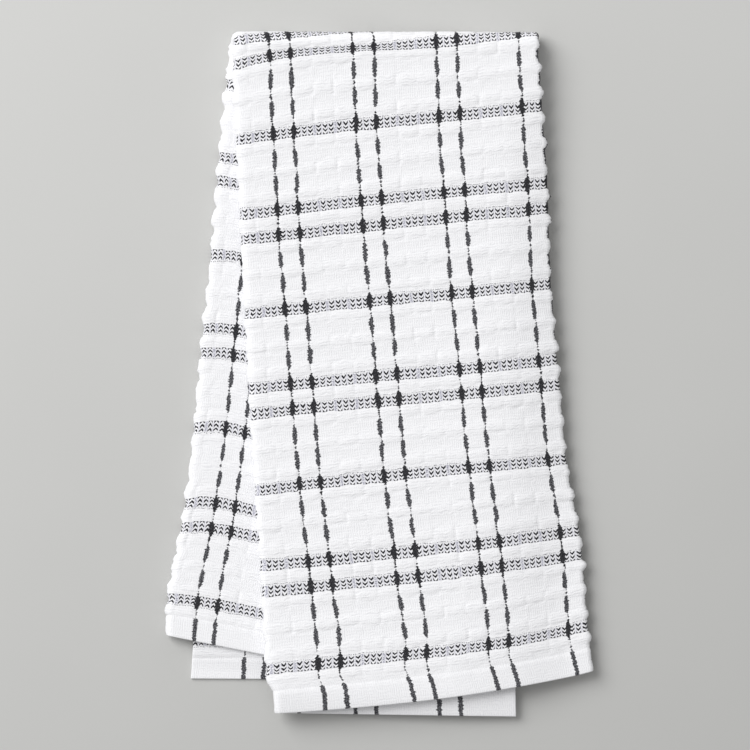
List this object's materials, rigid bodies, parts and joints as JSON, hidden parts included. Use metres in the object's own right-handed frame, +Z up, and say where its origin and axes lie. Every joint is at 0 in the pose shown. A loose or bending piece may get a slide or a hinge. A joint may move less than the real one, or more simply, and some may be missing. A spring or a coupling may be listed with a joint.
{
  "type": "tea towel",
  "caption": "Checked cotton tea towel with a puffy weave, folded lengthwise and turned over on itself, lying flat and slightly fanned.",
  "frame": {"origin": "centre of the base of the folded towel's bounding box, on the surface that it lies on", "axes": "+Y along the folded strip towards the top turn, +Z up through the layers, +X to the right seen from above"},
  "size_m": [0.2322, 0.371, 0.0148],
  "materials": {
    "cotton": "matt woven cotton with dark stripes"
  },
  "bodies": {
    "root": {"towel_cloth": "cotton"}
  },
  "joints": []
}
